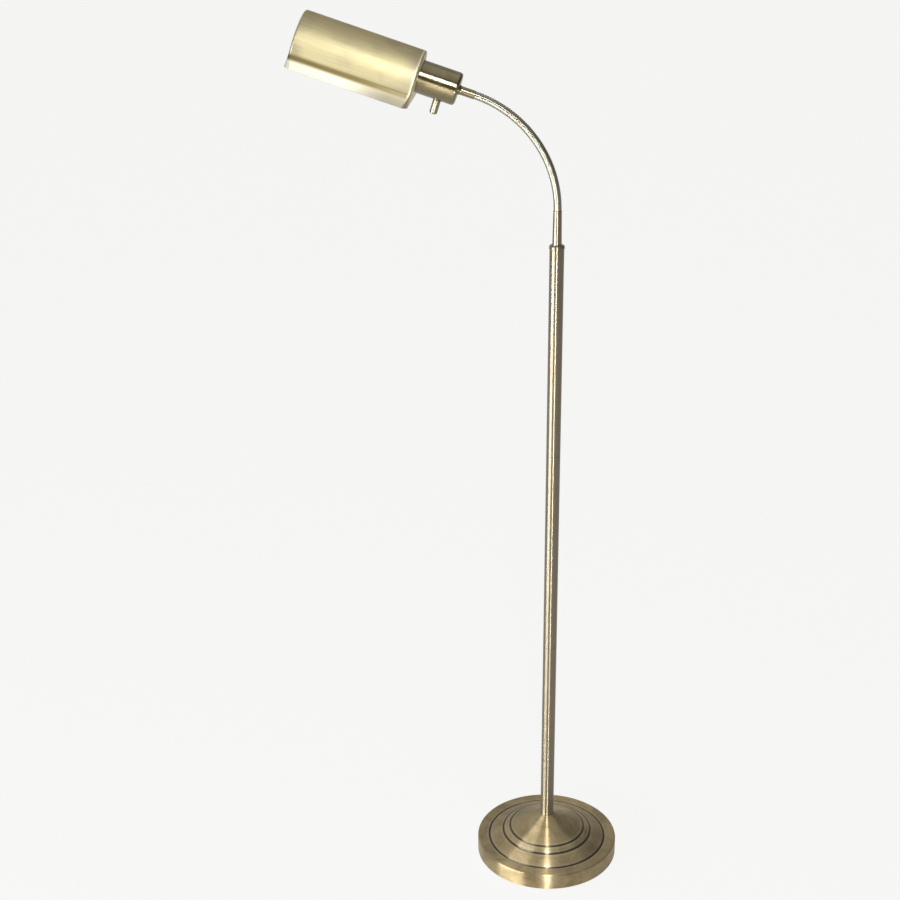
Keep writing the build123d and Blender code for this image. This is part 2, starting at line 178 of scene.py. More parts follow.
def linear(code):
    """An sRGB hex colour as linear red, green, blue and alpha."""
    parts = [int(code[place:place + 2], 16) / 255 for place in (1, 3, 5)]
    return [c / 12.92 if c <= 0.04045 else ((c + 0.055) / 1.055) ** 2.4 for c in parts] + [1]


def add(tree, kind, inputs, **settings):
    """A new node with its settings, and each input either linked to a node or set to a value."""
    node = tree.nodes.new("ShaderNode" + kind)
    for name, value in settings.items():
        setattr(node, name, value)
    for key, value in inputs.items():
        socket = node.inputs[key]
        if isinstance(key, str):
            socket = next(s for s in node.inputs if s.enabled and s.name == key)
        if isinstance(value, bpy.types.Node):
            value = next(s for s in value.outputs if s.enabled)
        if isinstance(value, bpy.types.NodeSocket):
            tree.links.new(value, socket)
        else:
            socket.default_value = value
    return node


def new_material(name):
    """An empty node material, and the tree to fill."""
    material = bpy.data.materials.new(name)
    material.use_nodes = True
    material.node_tree.nodes.clear()
    return material, material.node_tree


def per_mm(size):
    """A noise scale whose cells are about that many millimetres across."""
    return 1 / (size * MM)


def about_line(point, axis):
    """How a straight turned piece is measured: a place's arm from a point of its axis, and the axis."""
    def measure(tree, place):
        return add(tree, "VectorMath", {0: place, 1: point}, operation="SUBTRACT"), axis
    return measure


def about_bend(tree, place):
    """How the hose is measured: a place's arm from the bend's centre line, and the line's direction."""
    reach = add(tree, "VectorMath", {0: place, 1: bend_middle}, operation="SUBTRACT")
    level = add(tree, "VectorMath", {0: reach, 1: (1, 0, 1)}, operation="MULTIPLY")
    out = add(tree, "VectorMath", {0: level}, operation="NORMALIZE")
    line = add(tree, "VectorMath", {0: out, "Scale": neck_radius * MM}, operation="SCALE")
    arm = add(tree, "VectorMath", {0: reach, 1: line}, operation="SUBTRACT")
    return arm, add(tree, "VectorMath", {0: out, 1: near_side}, operation="CROSS_PRODUCT")


def turned_brass(name, measure, colours, cloud, drawn_out, lacquer, polish=0.27, grooves=(), seams=()):
    """Antique brass plate, polished round its axis and toned, under lacquer.

    The eye sees light drawn out across the fine polishing lines, tone that clouds from hand rubbing,
    and dark toner left in the grooves with a rubbed pale edge beside it.
    """
    # Polishing lines are finer than 0.1 mm, and are drawn 0.7 mm apart so that they show
    line_pitch = 0.7
    cloud_size = 28
    groove_toner_width = 1.9
    seam_toner_width = 0.5

    dark, middle, pale = (linear(code) for code in colours)
    material, tree = new_material(name)
    place = add(tree, "TexCoord", {}).outputs["Object"]
    arm, axis = measure(tree, place)
    height = add(tree, "VectorMath", {0: arm, 1: axis}, operation="DOT_PRODUCT").outputs["Value"]
    around = add(tree, "VectorMath", {0: axis, 1: arm}, operation="CROSS_PRODUCT")
    radius = add(tree, "VectorMath", {0: around}, operation="LENGTH").outputs["Value"]
    lay = add(tree, "VectorTransform", {"Vector": around},
              vector_type="VECTOR", convert_from="OBJECT", convert_to="WORLD")

    rings = add(tree, "CombineXYZ", {"X": radius, "Y": height})
    lines = add(tree, "TexNoise", {"Vector": rings, "Scale": per_mm(line_pitch), "Detail": 3.0},
                noise_dimensions="2D")
    clouds = add(tree, "TexNoise", {"Vector": place, "Scale": per_mm(cloud_size), "Detail": 4.0,
                                    "Roughness": 0.6, "Distortion": 0.8})
    rubbed = add(tree, "MapRange", {"Value": clouds.outputs["Fac"], "From Min": 0.36, "From Max": 0.62,
                                    "To Min": 1 - cloud, "To Max": 1.0})
    tone = add(tree, "Mix", {"Factor": rubbed, "A": dark, "B": middle}, data_type="RGBA")
    streak = add(tree, "MapRange", {"Value": lines.outputs["Fac"], "From Min": 0.3, "From Max": 0.75,
                                    "To Min": 0.0, "To Max": 0.2})
    colour = add(tree, "Mix", {"Factor": streak, "A": tone, "B": pale}, data_type="RGBA")

    washes = [(radius, groove, groove_toner_width) for groove in grooves]
    washes += [(height, seam, seam_toner_width) for seam in seams]
    for across, middle_at, width in washes:
        off = add(tree, "Math", {0: across, 1: middle_at * MM}, operation="SUBTRACT")
        gap = add(tree, "Math", {0: off}, operation="ABSOLUTE")
        edge = add(tree, "MapRange", {"Value": gap, "From Min": width * MM, "From Max": 2.6 * width * MM,
                                      "To Min": 0.25, "To Max": 0.0})
        colour = add(tree, "Mix", {"Factor": edge, "A": colour, "B": pale}, data_type="RGBA")
        toner = add(tree, "MapRange", {"Value": gap, "From Min": 0.55 * width * MM, "From Max": width * MM,
                                       "To Min": 0.75, "To Max": 0.0})
        colour = add(tree, "Mix", {"Factor": toner, "A": colour, "B": linear("#382e1c")},
                     data_type="RGBA")

    gloss = add(tree, "Math", {0: clouds.outputs["Fac"], 1: 0.08, 2: polish},
                operation="MULTIPLY_ADD")
    gloss = add(tree, "Math", {0: lines.outputs["Fac"], 1: 0.06, 2: gloss}, operation="MULTIPLY_ADD")
    relief = add(tree, "Bump", {"Height": lines.outputs["Fac"], "Strength": 0.12, "Distance": 0.02 * MM})
    shader = add(tree, "BsdfPrincipled", {
        "Base Color": colour, "Metallic": 1.0, "Roughness": gloss, "Normal": relief, "Tangent": lay,
        "Anisotropic": drawn_out, "Anisotropic Rotation": 0.25,
        "Coat Weight": lacquer, "Coat Roughness": 0.14})
    add(tree, "OutputMaterial", {"Surface": shader})
    return material


def brushed_shade_brass(name, colours):
    """Antique brass sheet, brushed along the trough and toned, with painted highlights on its lip and near
    edge.

    The eye sees a broad soft light wrapped round the arch, fine streaks along the length, greyish
    rubbed patches near both ends, a dark crease band that is partly toner and partly painted shade,
    a top darkened by painted shade, and a painted highlight along the lip that greys near the cup.
    """
    # Brush marks are finer than 0.1 mm, and are drawn 0.9 mm wide and 60 mm long so that they show
    mark_width = 0.9
    mark_length = 60
    cloud_size = 45

    # Where each tone, painted shade and painted highlight starts and ends along the shade, from the cup's
    # mouth
    grey_ends = ((42, 8), (132, 156))
    crease_toner_and_shade_thickens = (8, 70)
    lip_highlight_brightens = (25, 95)
    rim_highlight_fades = (2.5, 5.5)

    # Where each tone, painted shade and painted highlight starts and ends up the shade, from the socket's
    # axis
    crease_toner_and_shade_top = (-18.8, -13.5)
    crease_toner_and_shade_foot = (-24.5, -20)
    lip_highlight_starts = (-22, -25)
    top_shade_darkens = (12, 30)

    dark, middle, pale = (linear(code) for code in colours)
    material, tree = new_material(name)
    place = add(tree, "TexCoord", {}).outputs["Object"]
    arm = add(tree, "VectorMath", {0: place, 1: cup_mouth}, operation="SUBTRACT")
    length = add(tree, "VectorMath", {0: arm, 1: head_out}, operation="DOT_PRODUCT").outputs["Value"]
    rise = add(tree, "VectorMath", {0: arm, 1: head_up}, operation="DOT_PRODUCT").outputs["Value"]
    side = add(tree, "VectorMath", {0: arm, 1: near_side}, operation="DOT_PRODUCT").outputs["Value"]
    lay = add(tree, "VectorTransform", {"Vector": head_out + 0.06 * head_up},
              vector_type="VECTOR", convert_from="OBJECT", convert_to="WORLD")

    drawn = add(tree, "Math", {0: length, 1: mark_width / mark_length}, operation="MULTIPLY")
    marks = add(tree, "CombineXYZ", {"X": drawn, "Y": side, "Z": rise})
    lines = add(tree, "TexNoise", {"Vector": marks, "Scale": per_mm(mark_width), "Detail": 3.0})
    clouds = add(tree, "TexNoise", {"Vector": place, "Scale": per_mm(cloud_size), "Detail": 2.0,
                                    "Roughness": 0.5, "Distortion": 0.4})
    calm = clouds.outputs["Fac"]
    for inner, outer in grey_ends:
        end = add(tree, "MapRange", {"Value": length, "From Min": inner * MM, "From Max": outer * MM,
                                     "To Min": 0.0, "To Max": 0.2})
        calm = add(tree, "Math", {0: calm, 1: end}, operation="SUBTRACT")
    rubbed = add(tree, "MapRange", {"Value": calm, "From Min": 0.2, "From Max": 0.46})
    tone = add(tree, "Mix", {"Factor": rubbed, "A": dark, "B": middle}, data_type="RGBA")
    streak = add(tree, "MapRange", {"Value": lines.outputs["Fac"], "From Min": 0.3, "From Max": 0.75,
                                    "To Min": 0.0, "To Max": 0.3})
    colour = add(tree, "Mix", {"Factor": streak, "A": tone, "B": pale}, data_type="RGBA")

    # Dark band along the crease: partly toner left in the crease, partly painted shade, a little lighter
    # near the cup
    above = add(tree, "MapRange", {"Value": rise, "From Min": crease_toner_and_shade_top[0] * MM,
                                   "From Max": crease_toner_and_shade_top[1] * MM, "To Min": 1.0, "To Max": 0.0},
                interpolation_type="SMOOTHSTEP")
    below = add(tree, "MapRange", {"Value": rise, "From Min": crease_toner_and_shade_foot[0] * MM,
                                   "From Max": crease_toner_and_shade_foot[1] * MM}, interpolation_type="SMOOTHSTEP")
    thick = add(tree, "MapRange", {"Value": length, "From Min": crease_toner_and_shade_thickens[0] * MM,
                                   "From Max": crease_toner_and_shade_thickens[1] * MM, "To Min": 0.8, "To Max": 1.0},
                interpolation_type="SMOOTHSTEP")
    toner = add(tree, "Math", {0: above, 1: below}, operation="MULTIPLY")
    toner = add(tree, "Math", {0: toner, 1: thick}, operation="MULTIPLY")
    colour = add(tree, "Mix", {"Factor": toner, "A": colour, "B": linear("#6f6238")}, data_type="RGBA")

    # Painted highlight on the flared lip: near white, greyer towards the cup
    lip_highlight = add(tree, "MapRange", {"Value": rise, "From Min": lip_highlight_starts[0] * MM,
                                 "From Max": lip_highlight_starts[1] * MM})
    lip_highlight_along = add(tree, "MapRange", {"Value": length, "From Min": lip_highlight_brightens[0] * MM,
                                   "From Max": lip_highlight_brightens[1] * MM}, interpolation_type="SMOOTHSTEP")
    edge = add(tree, "Mix", {"Factor": lip_highlight_along, "A": linear("#a39c88"), "B": linear("#f9f3dd")},
               data_type="RGBA")
    colour = add(tree, "Mix", {"Factor": lip_highlight, "A": colour, "B": edge}, data_type="RGBA")
    # Painted shade: the top of the arch is darker olive
    top = add(tree, "MapRange", {"Value": rise, "From Min": top_shade_darkens[0] * MM,
                                 "From Max": top_shade_darkens[1] * MM, "To Min": 0.0, "To Max": 0.3},
              interpolation_type="SMOOTHSTEP")
    colour = add(tree, "Mix", {"Factor": top, "A": colour, "B": linear("#9a895b")}, data_type="RGBA")
    # Painted highlight along the rounded near edge by the cup
    rim_highlight = add(tree, "MapRange", {"Value": length, "From Min": rim_highlight_fades[0] * MM,
                                 "From Max": rim_highlight_fades[1] * MM, "To Min": 0.9, "To Max": 0.0},
              interpolation_type="SMOOTHSTEP")
    colour = add(tree, "Mix", {"Factor": rim_highlight, "A": colour, "B": linear("#f3e9c6")}, data_type="RGBA")

    gloss = add(tree, "Math", {0: clouds.outputs["Fac"], 1: 0.12, 2: 0.40}, operation="MULTIPLY_ADD")
    relief = add(tree, "Bump", {"Height": lines.outputs["Fac"], "Strength": 0.15, "Distance": 0.02 * MM})
    shader = add(tree, "BsdfPrincipled", {
        "Base Color": colour, "Metallic": 1.0, "Roughness": gloss, "Normal": relief, "Tangent": lay,
        "Anisotropic": 0.7, "Anisotropic Rotation": 0.25,
        "Coat Weight": 0.2, "Coat Roughness": 0.3})
    add(tree, "OutputMaterial", {"Surface": shader})
    return material


def mottled(name, dark, pale, grain, metallic, roughness, relief, **sockets):
    """A finish whose tone, gloss and relief vary with one grain. Grain and relief are in millimetres."""
    material, tree = new_material(name)
    place = add(tree, "TexCoord", {}).outputs["Object"]
    noise = add(tree, "TexNoise", {"Vector": place, "Scale": per_mm(grain), "Detail": 4.0})
    spread = add(tree, "MapRange", {"Value": noise.outputs["Fac"], "From Min": 0.3, "From Max": 0.7})
    colour = add(tree, "Mix", {"Factor": spread, "A": linear(dark), "B": linear(pale)}, data_type="RGBA")
    gloss = add(tree, "Math", {0: noise.outputs["Fac"], 1: 0.16, 2: roughness - 0.08},
                operation="MULTIPLY_ADD")
    bump = add(tree, "Bump", {"Height": noise.outputs["Fac"], "Strength": 0.4, "Distance": relief * MM})
    inputs = {"Base Color": colour, "Metallic": metallic, "Roughness": gloss, "Normal": bump}
    shader = add(tree, "BsdfPrincipled", {**inputs, **sockets})
    add(tree, "OutputMaterial", {"Surface": shader})
    return material


# Toned, rubbed and rubbed-through colours of each piece's antique brass
base_tones = ("#7d6941", "#cfb889", "#f5ebcd")
tube_tones = ("#897d65", "#a69a82", "#dad1ba")
cup_tones = ("#716444", "#988961", "#c9bd9a")
hose_tones = ("#9a9482", "#bfb9a6", "#e6e0d1")
shade_tones = ("#a0967a", "#c1b589", "#f1e8c7")

about_pole = about_line(Vector(), Vector((0, 0, 1)))
about_head = about_line(cup_mouth, head_out)
about_switch = about_line(switch_middle, -head_up)
pole_seams = (pole_foot + pole_section, pole_foot + 2 * pole_section, pole_top - cap_bead)

# Base: warm, clouded by hand rubbing, with light fanned out from the pole and toner in the grooves
stand_brass = turned_brass("antique_brass_base", about_pole, base_tones, cloud=0.55, drawn_out=1.0,
                           lacquer=0.25, grooves=(outer_groove, middle_groove, inner_groove))
# Pole: greyer and even, with a pale band and a bright line down it, and toner in its joints
pole_brass = turned_brass("antique_brass_pole", about_pole, tube_tones, cloud=0.3, drawn_out=1.0,
                          lacquer=0.6, seams=pole_seams)
# Socket cup: darker and polished finer, so that its lacquer shows one sharp white stripe
cup_brass = turned_brass("antique_brass_cup", about_head, cup_tones, cloud=0.5, drawn_out=0.8,
                         lacquer=1.0, polish=0.19)
# Switch knob: the pole's tone, clouded by fingers
knob_brass = turned_brass("antique_brass_knob", about_switch, tube_tones, cloud=0.5, drawn_out=0.7,
                          lacquer=1.0)
# Hose: pale and nearly silver, with a spark on each rib
hose_brass = turned_brass("antique_brass_hose", about_bend, hose_tones, cloud=0.2, drawn_out=1.0,
                          lacquer=1.0)
# Shade: yellower, with a soft sheen along it
shade_brass = brushed_shade_brass("antique_brass_shade", shade_tones)

# Stove enamel inside the shade: smooth satin off-white with a faint orange-peel surface
enamel = mottled("satin_white_enamel", "#d1cdc1", "#dcd8ce", grain=2.5, metallic=0.0, roughness=0.32,
                 relief=0.02)
# Pressed wool felt: matt, dark, with short fibres that blur its edge
felt = mottled("black_wool_felt", "#121211", "#272624", grain=0.8, metallic=0.0, roughness=0.95,
               relief=0.25, **{"Sheen Weight": 0.4})
# Moulded rubber: near black with a dull moulded skin
rubber = mottled("moulded_black_rubber", "#141312", "#262422", grain=1.2, metallic=0.0, roughness=0.6,
                 relief=0.03)
# Sand-cast iron: dark grey and pitted
iron = mottled("sand_cast_iron", "#2b2a29", "#4a4845", grain=1.6, metallic=0.9, roughness=0.62,
               relief=0.2)
# Zinc plate on turned steel: pale, bluish, faintly blotched
zinc = mottled("zinc_plated_steel", "#8d9296", "#b7bbbd", grain=4, metallic=1.0, roughness=0.34,
               relief=0.01)
# Extruded vinyl sheath of a lamp lead: gold and slightly glossy
sheath = mottled("gold_vinyl_sheath", "#a48a4c", "#bfa564", grain=3, metallic=0.0, roughness=0.35,
                 relief=0.02)
# Moulded phenolic: black with a dull gloss and faint flow marks
phenolic = mottled("moulded_phenolic", "#15110e", "#2a221b", grain=5, metallic=0.0, roughness=0.38,
                   relief=0.02)
# Bare stamped brass of the contacts: yellow and evenly bright
contact = mottled("stamped_contact_brass", "#a8873f", "#cdae62", grain=3, metallic=1.0, roughness=0.36,
                  relief=0.01)
# Inside-frosted lamp glass: soft white that lets some light through
frosted = mottled("inside_frosted_glass", "#e9e7e0", "#f4f2ec", grain=9, metallic=0.0, roughness=0.36,
                  relief=0.01, **{"Transmission Weight": 0.3})
# Rolled aluminium of the bulb's screw base: pale grey with a soft shine
aluminium = mottled("rolled_aluminium", "#a9abad", "#cfd0d1", grain=2, metallic=1.0, roughness=0.3,
                    relief=0.01)
# Vitrite glass that parts the bulb's base from its tip: black and glossy
vitrite = mottled("black_vitrite_glass", "#0b0b0d", "#18181b", grain=4, metallic=0.0, roughness=0.15,
                  relief=0.005)
# Solder on the bulb's tip: dull grey, slightly lumpy
solder = mottled("dull_solder", "#8a8b8a", "#a9aaa8", grain=1.5, metallic=1.0, roughness=0.45,
                 relief=0.05)

# Every node imported from model.glb takes the finish of its slot in model.json
slot_finishes = {
    "antique_brass": pole_brass, "shade_brass": shade_brass, "hose_brass": hose_brass, "cast_iron": iron,
    "felt": felt, "black_rubber": rubber, "zinc_steel": zinc, "lead_jacket": sheath,
    "phenolic": phenolic, "contact_brass": contact, "frosted_glass": frosted,
    "bulb_aluminium": aluminium, "black_glass": vitrite, "solder": solder,
}
for subpart in frame["record"]["subparts"]:
    mesh = frame["nodes"][subpart["node"]].data
    mesh.materials.clear()
    mesh.materials.append(slot_finishes[subpart["material_slot"]])


def bowed(first, second, rise):
    """The corner whose rounding bows the line between two points of a half section by a rise."""
    kept_by_rounding = 0.45
    rounding_reach = 0.49
    start = Vector(first[:2])
    end = Vector(second[:2])
    chord = end - start
    across = Vector((chord.y, -chord.x)).normalized()
    peak = (start + end) / 2 + across * rise / kept_by_rounding
    return (peak.x, peak.y, rounding_reach * chord.length)


def round_corner(bm, corner, rounding):
    """Rounds one corner of an outline that isn't turned yet."""
    bmesh.ops.bevel(bm, geom=[corner], offset=rounding * MM, offset_type="OFFSET",
                    segments=round_steps, profile=0.5, affect="VERTICES", material=-1)


def turned(outline, place, steps, closed=True):
    """A mesh turned about an axis from the corners of its half section: radius, height, rounding."""
    bm = bmesh.new()
    corners = [bm.verts.new((radius * MM, 0, height * MM)) for radius, height, rounding in outline]
    ends = corners[1:] + corners[:1]
    for first, second in list(zip(corners, ends))[:len(corners) if closed else -1]:
        bm.edges.new((first, second))
    for corner, (radius, height, rounding) in zip(corners, outline):
        if rounding:
            round_corner(bm, corner, rounding)
    bmesh.ops.spin(bm, geom=bm.verts[:] + bm.edges[:], cent=(0, 0, 0), axis=(0, 0, 1),
                   angle=2 * pi, steps=steps, use_merge=True)
    bmesh.ops.remove_doubles(bm, verts=bm.verts, dist=weld * MM)
    bmesh.ops.recalc_face_normals(bm, faces=bm.faces)
    bmesh.ops.transform(bm, matrix=place, verts=bm.verts)
    return bm


def next_ring(bm, edges):
    """Extrudes a ring of edges where it is, and gives the new ring's vertices and edges."""
    made = bmesh.ops.extrude_edge_only(bm, edges=edges)["geom"]
    ring = [item for item in made if isinstance(item, bmesh.types.BMVert)]
    ring_edges = [item for item in made if isinstance(item, bmesh.types.BMEdge)
                  and all(vert in ring for vert in item.verts)]
    return ring, ring_edges


def as_object(name, bm, *materials):
    """A mesh as a smooth object in the scene."""
    mesh = bpy.data.meshes.new(name)
    for face in bm.faces:
        face.smooth = True
    bm.to_mesh(mesh)
    bm.free()
    for material in materials:
        mesh.materials.append(material)
    piece = bpy.data.objects.new(name, mesh)
    bpy.context.scene.collection.objects.link(piece)
    return piece


def drill(piece, place, radius, start, end):
    """Cuts a round hole along a place's axis, and applies what modifiers the piece has so far."""
    bm = bmesh.new()
    bmesh.ops.create_cone(bm, cap_ends=True, segments=small_turn, radius1=radius * MM, radius2=radius * MM,
                          depth=(end - start) * MM,
                          matrix=place @ Matrix.Translation((0, 0, (start + end) / 2 * MM)))
    drill_bit = as_object("drill_bit", bm)
    cut = piece.modifiers.new("hole", "BOOLEAN")
    cut.operation = "DIFFERENCE"
    cut.solver = "EXACT"
    cut.object = drill_bit
    bpy.context.view_layer.update()
    solid = piece.evaluated_get(bpy.context.evaluated_depsgraph_get())
    piece.data = bpy.data.meshes.new_from_object(solid)
    piece.modifiers.clear()
    bpy.data.objects.remove(drill_bit)


def settle(piece, body, slot, *nodes):
    """Gives a finished piece its edge shading and its body, and hides the nodes it stands for."""
    piece.data.set_sharp_from_angle(angle=sharp_angle)
    normals = piece.modifiers.new("flat faces stay flat", "WEIGHTED_NORMAL")
    normals.keep_sharp = True
    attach(piece, body)
    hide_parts(*nodes)


def turned_piece(name, outline, place, steps, material, body, slot, node, closed=True):
    """A turned piece that stands for one node."""
    piece = as_object(name, turned(outline, place, steps, closed), material)
    settle(piece, body, slot, node)


# Base: spun cover with its three grooves, felt pad and cord grommet
cover_outer = [(base_radius, cover_foot, 0.4), (base_radius, rim_height, 2.0)]
first_groove = [(85.35, rim_height, 0.25), (outer_groove, 23.3, 0.4), (83.69, 24.69, 0.25)]
second_groove = [(64.81, 33.61, 0.25), (63.55, 33.16, 0.4), (63.23, 34.46, 0.25)]
third_groove = [(54.77, 39.54, 0.25), (53.54, 39.17, 0.4), (53.2, 40.41, 0.25)]
cone_top = (pole_hole, 62.6, 0.3)
# The inside of the cover follows its outside about 2 mm below it
cover_inner = [
    (pole_hole, 61.0, 0), (inner_groove, 38.0, 0), (middle_groove, 32.0, 0),
    (outer_groove, 22.0, 0), (cover_bore, 22.0, 0), (cover_bore, cover_foot, 0),
]
cover_outline = (
    cover_outer
    + first_groove + [bowed(first_groove[-1], second_groove[0], rise=0.75)]
    + second_groove + [bowed(second_groove[-1], third_groove[0], rise=0.4)]
    + third_groove + [bowed(third_groove[-1], cone_top, rise=-0.9)]
    + [cone_top] + cover_inner
)
cover = as_object("base_cover_spun", turned(cover_outline, upright, large_turn), stand_brass)
drill(cover, out_of_inlet, inlet_hole, start=90, end=110)
settle(cover, "stand", "antique_brass", "base_cover")

pad_outline = [(0, 0, 0), (pad_radius, 0, 0.5), (pad_radius, pad_thickness, 0.5), (0, pad_thickness, 0)]
turned_piece("base_pad_felt", pad_outline, upright, large_turn, felt, "stand", "felt", "base_pad",
             closed=False)

grommet_outline = [
    (grommet_bore, grommet_inside, 0.4), (grommet_radius, grommet_inside, 0.4),
    (grommet_radius, 99.69, 0), (grommet_waist, 99.69, 0),
    (grommet_waist, base_radius, 0), (grommet_radius, base_radius, 0.2),
    (5.7, grommet_outside, 0.7), (grommet_bore, grommet_outside, 0.7),
]
turned_piece("cord_grommet_moulded", grommet_outline, out_of_inlet, small_turn, rubber, "stand",
             "black_rubber", "cord_grommet")

# Pole: three tubes whose rounded ends meet in fine lines, and the turned cap
bead_foot = pole_top - cap_bead
plug_foot = bead_foot - cap_plug
for index, name in enumerate(("lower", "middle", "upper")):
    foot = pole_foot + index * pole_section
    top = bead_foot if name == "upper" else foot + pole_section
    tube = [(pole_bore, foot, 0), (pole_radius, foot, 0.3), (pole_radius, top, 0.3), (pole_bore, top, 0)]
    turned_piece(f"pole_{name}_tube", tube, upright, small_turn, pole_brass, "stand", "antique_brass",
                 f"pole_{name}")

cap_outline = [
    (thread_hole, plug_foot, 0), (plug_radius, plug_foot, 0.3), (plug_radius, bead_foot, 0),
    (cap_radius, bead_foot, 0.65), (cap_radius, pole_top, 2.6), (thread_hole, pole_top, 0),
]
turned_piece("pole_cap_turned", cap_outline, upright, small_turn, pole_brass, "stand", "antique_brass",
             "pole_cap")

# Ferrules: the lower one ends in a spigot inside the hose, and the upper one takes the hose's last spigot
lower_end = neck_foot - ferrule_room
lower_spigot = neck_foot + 1.3
lower_ferrule = [
    (ferrule_bore, plug_foot, 0), (ferrule_thread, plug_foot, 0.3), (ferrule_thread, pole_top, 0),
    (6.1, pole_top, 0.2), (5.45, lower_end, 0.6), (spigot_radius, lower_end, 0),
    (spigot_radius, lower_spigot, 0.2), (ferrule_bore, lower_spigot, 0),
]
turned_piece("neck_ferrule_lower_turned", lower_ferrule, upright, small_turn, pole_brass, "stand",
             "antique_brass", "neck_ferrule_lower")

cup_back = -cup_length
upper_end = cup_back - upper_ferrule + ferrule_room
upper_recess = cup_back - upper_ferrule + 2.2
collar_back = cup_back - 2.6
thread_end = cup_back + 8
upper_ferrule_outline = [
    (ferrule_bore, upper_recess, 0), (ferrule_recess, upper_recess, 0), (ferrule_recess, upper_end, 0.2),
    (ferrule_radius, upper_end, 0.6), (ferrule_radius, collar_back, 1.0), (6.7, cup_back, 0.2),
    (ferrule_thread, cup_back, 0), (ferrule_thread, thread_end, 0.3), (ferrule_bore, thread_end, 0),
]
turned_piece("neck_ferrule_upper_turned", upper_ferrule_outline, along_head, small_turn, cup_brass, "head",
             "antique_brass", "neck_ferrule_upper")

# Each rib of the hose, as (place along its pitch, radius), with a hollow between ribs
rib_profile = ((0.095, 4.6), (0.10, 5.0), (0.11, 5.12), (0.15, 5.15), (0.85, 5.15), (0.89, 5.12),
               (0.90, 5.0), (0.905, 4.6))
rib_angle = bend / (hose_lengths * ribs_per_length)

# Room at each end of a length, the spigot's reach past it and the bore's depth, in rib pitches
end_room = 0.09
spigot_reach = 0.4
bore_depth = 1.2


def hose_length(index):
    """One length of ribbed hose along the bend, with a spigot inside the next length's bore.

    The ends leave room for two lengths to close up on the inside of a bend.
    """
    spigot_end = ribs_per_length + spigot_reach
    stations = [(end_room, hose_bore)]
    for rib in range(ribs_per_length):
        stations += [(rib + along, radius) for along, radius in rib_profile]
    stations += [(ribs_per_length - end_room, spigot_radius), (spigot_end, spigot_radius)]
    stations += [(spigot_end, spigot_bore), (bore_depth, spigot_bore), (bore_depth, hose_bore)]
    stations += [(end_room, hose_bore)]

    first_along, first_radius = stations[0]
    angle = (index * ribs_per_length + first_along) * rib_angle
    to_middle = Matrix.Translation(bend_middle)
    along_bend = to_middle @ Matrix.Rotation(-angle, 4, "Y") @ to_middle.inverted()
    foot_ring = along_bend @ Matrix.Translation((0, 0, neck_foot * MM))
    bm = bmesh.new()
    bmesh.ops.create_circle(bm, cap_ends=False, segments=hose_turn, radius=first_radius * MM,
                            matrix=foot_ring)
    edges = bm.edges[:]
    for (along, radius), (next_along, next_radius) in zip(stations, stations[1:]):
        ring, edges = next_ring(bm, edges)
        bmesh.ops.rotate(bm, cent=bend_middle, verts=ring,
                         matrix=Matrix.Rotation(-(next_along - along) * rib_angle, 3, "Y"))
        middle = sum((vert.co for vert in ring), Vector()) / len(ring)
        share = next_radius / radius
        bmesh.ops.scale(bm, vec=(share, share, share), space=Matrix.Translation(-middle), verts=ring)
    bmesh.ops.remove_doubles(bm, verts=bm.verts, dist=weld * MM)
    bmesh.ops.recalc_face_normals(bm, faces=bm.faces)
    return bm


for index in range(hose_lengths):
    number = f"{index + 1:02d}"
    hose = as_object(f"neck_hose_{number}", hose_length(index), hose_brass)
    settle(hose, f"hose_{number}", "hose_brass", f"neck_{number}")

# Head: drawn socket cup, turn switch knob, socket sleeve, shade ring and bulb
cup_outline = [
    (thread_hole, cup_back, 0), (cup_radius, cup_back, 4.0), (cup_radius, 0, 0.3), (cup_bore, 0, 0.2),
    (cup_bore, cup_back + cup_wall, 3.0), (thread_hole, cup_back + cup_wall, 0),
]
cup = as_object("socket_cup_drawn", turned(cup_outline, along_head, cup_turn), cup_brass)
drill(cup, down_switch, switch_hole, start=15, end=25)
settle(cup, "head", "antique_brass", "socket_cup")

knob_outline = [
    (0, knob_bore_end, 0), (knob_bore, knob_bore_end, 0), (knob_bore, knob_start, 0),
    (knob_radius, knob_start, 0.4), (knob_radius, knob_end, 2.2), (0, knob_end, 0),
]
turned_piece("switch_knob_turned", knob_outline, down_switch, small_turn, knob_brass, "switch",
             "antique_brass", "switch_knob", closed=False)

socket_outline = [
    (contact_hole, sleeve_back, 0), (sleeve_radius, sleeve_back, 0.5), (sleeve_radius, sleeve_front, 0.7),
    (sleeve_bore, sleeve_front, 0.3), (sleeve_bore, sleeve_floor, 0), (contact_hole, sleeve_floor, 0),
]
turned_piece("socket_sleeve_moulded", socket_outline, along_head, small_turn, phenolic, "head", "phenolic",
             "socket_body")
ring_outline = [
    (ring_bore, ring_back, 0), (ring_radius, ring_back, 0.3), (ring_radius, 2.6, 0), (20.5, 3.1, 0),
    (ring_radius, 3.6, 0), (ring_radius, ring_front, 0.5), (ring_bore, ring_front, 0.4),
]
turned_piece("shade_ring_turned", ring_outline, along_head, small_turn, zinc, "head", "zinc_steel",
             "shade_ring")
neck_inside = bulb_neck - bulb_wall
bulb_inside = bulb_radius - bulb_wall
inner_end = bulb_end - bulb_wall
glass_outline = [
    (neck_inside, bulb_start, 0), (bulb_neck, bulb_start, 0), (bulb_neck, 15.0, 3.5),
    (bulb_radius, 22.5, 3.5), (bulb_radius, bulb_end, 15.9), (0, bulb_end, 0),
    (0, inner_end, 0), (bulb_inside, inner_end, 14.9), (bulb_inside, 22.8, 3.5), (neck_inside, 15.3, 3.5),
]
turned_piece("bulb_glass_blown", glass_outline, along_head, small_turn, frosted, "head", "frosted_glass",
             "bulb_glass")

# Shade: the arch is half a turn, and the mouth is drawn down from its edge and flared
shade_middle = (shade_start + shade_end) / 2
half_length = (shade_end - shade_start) / 2


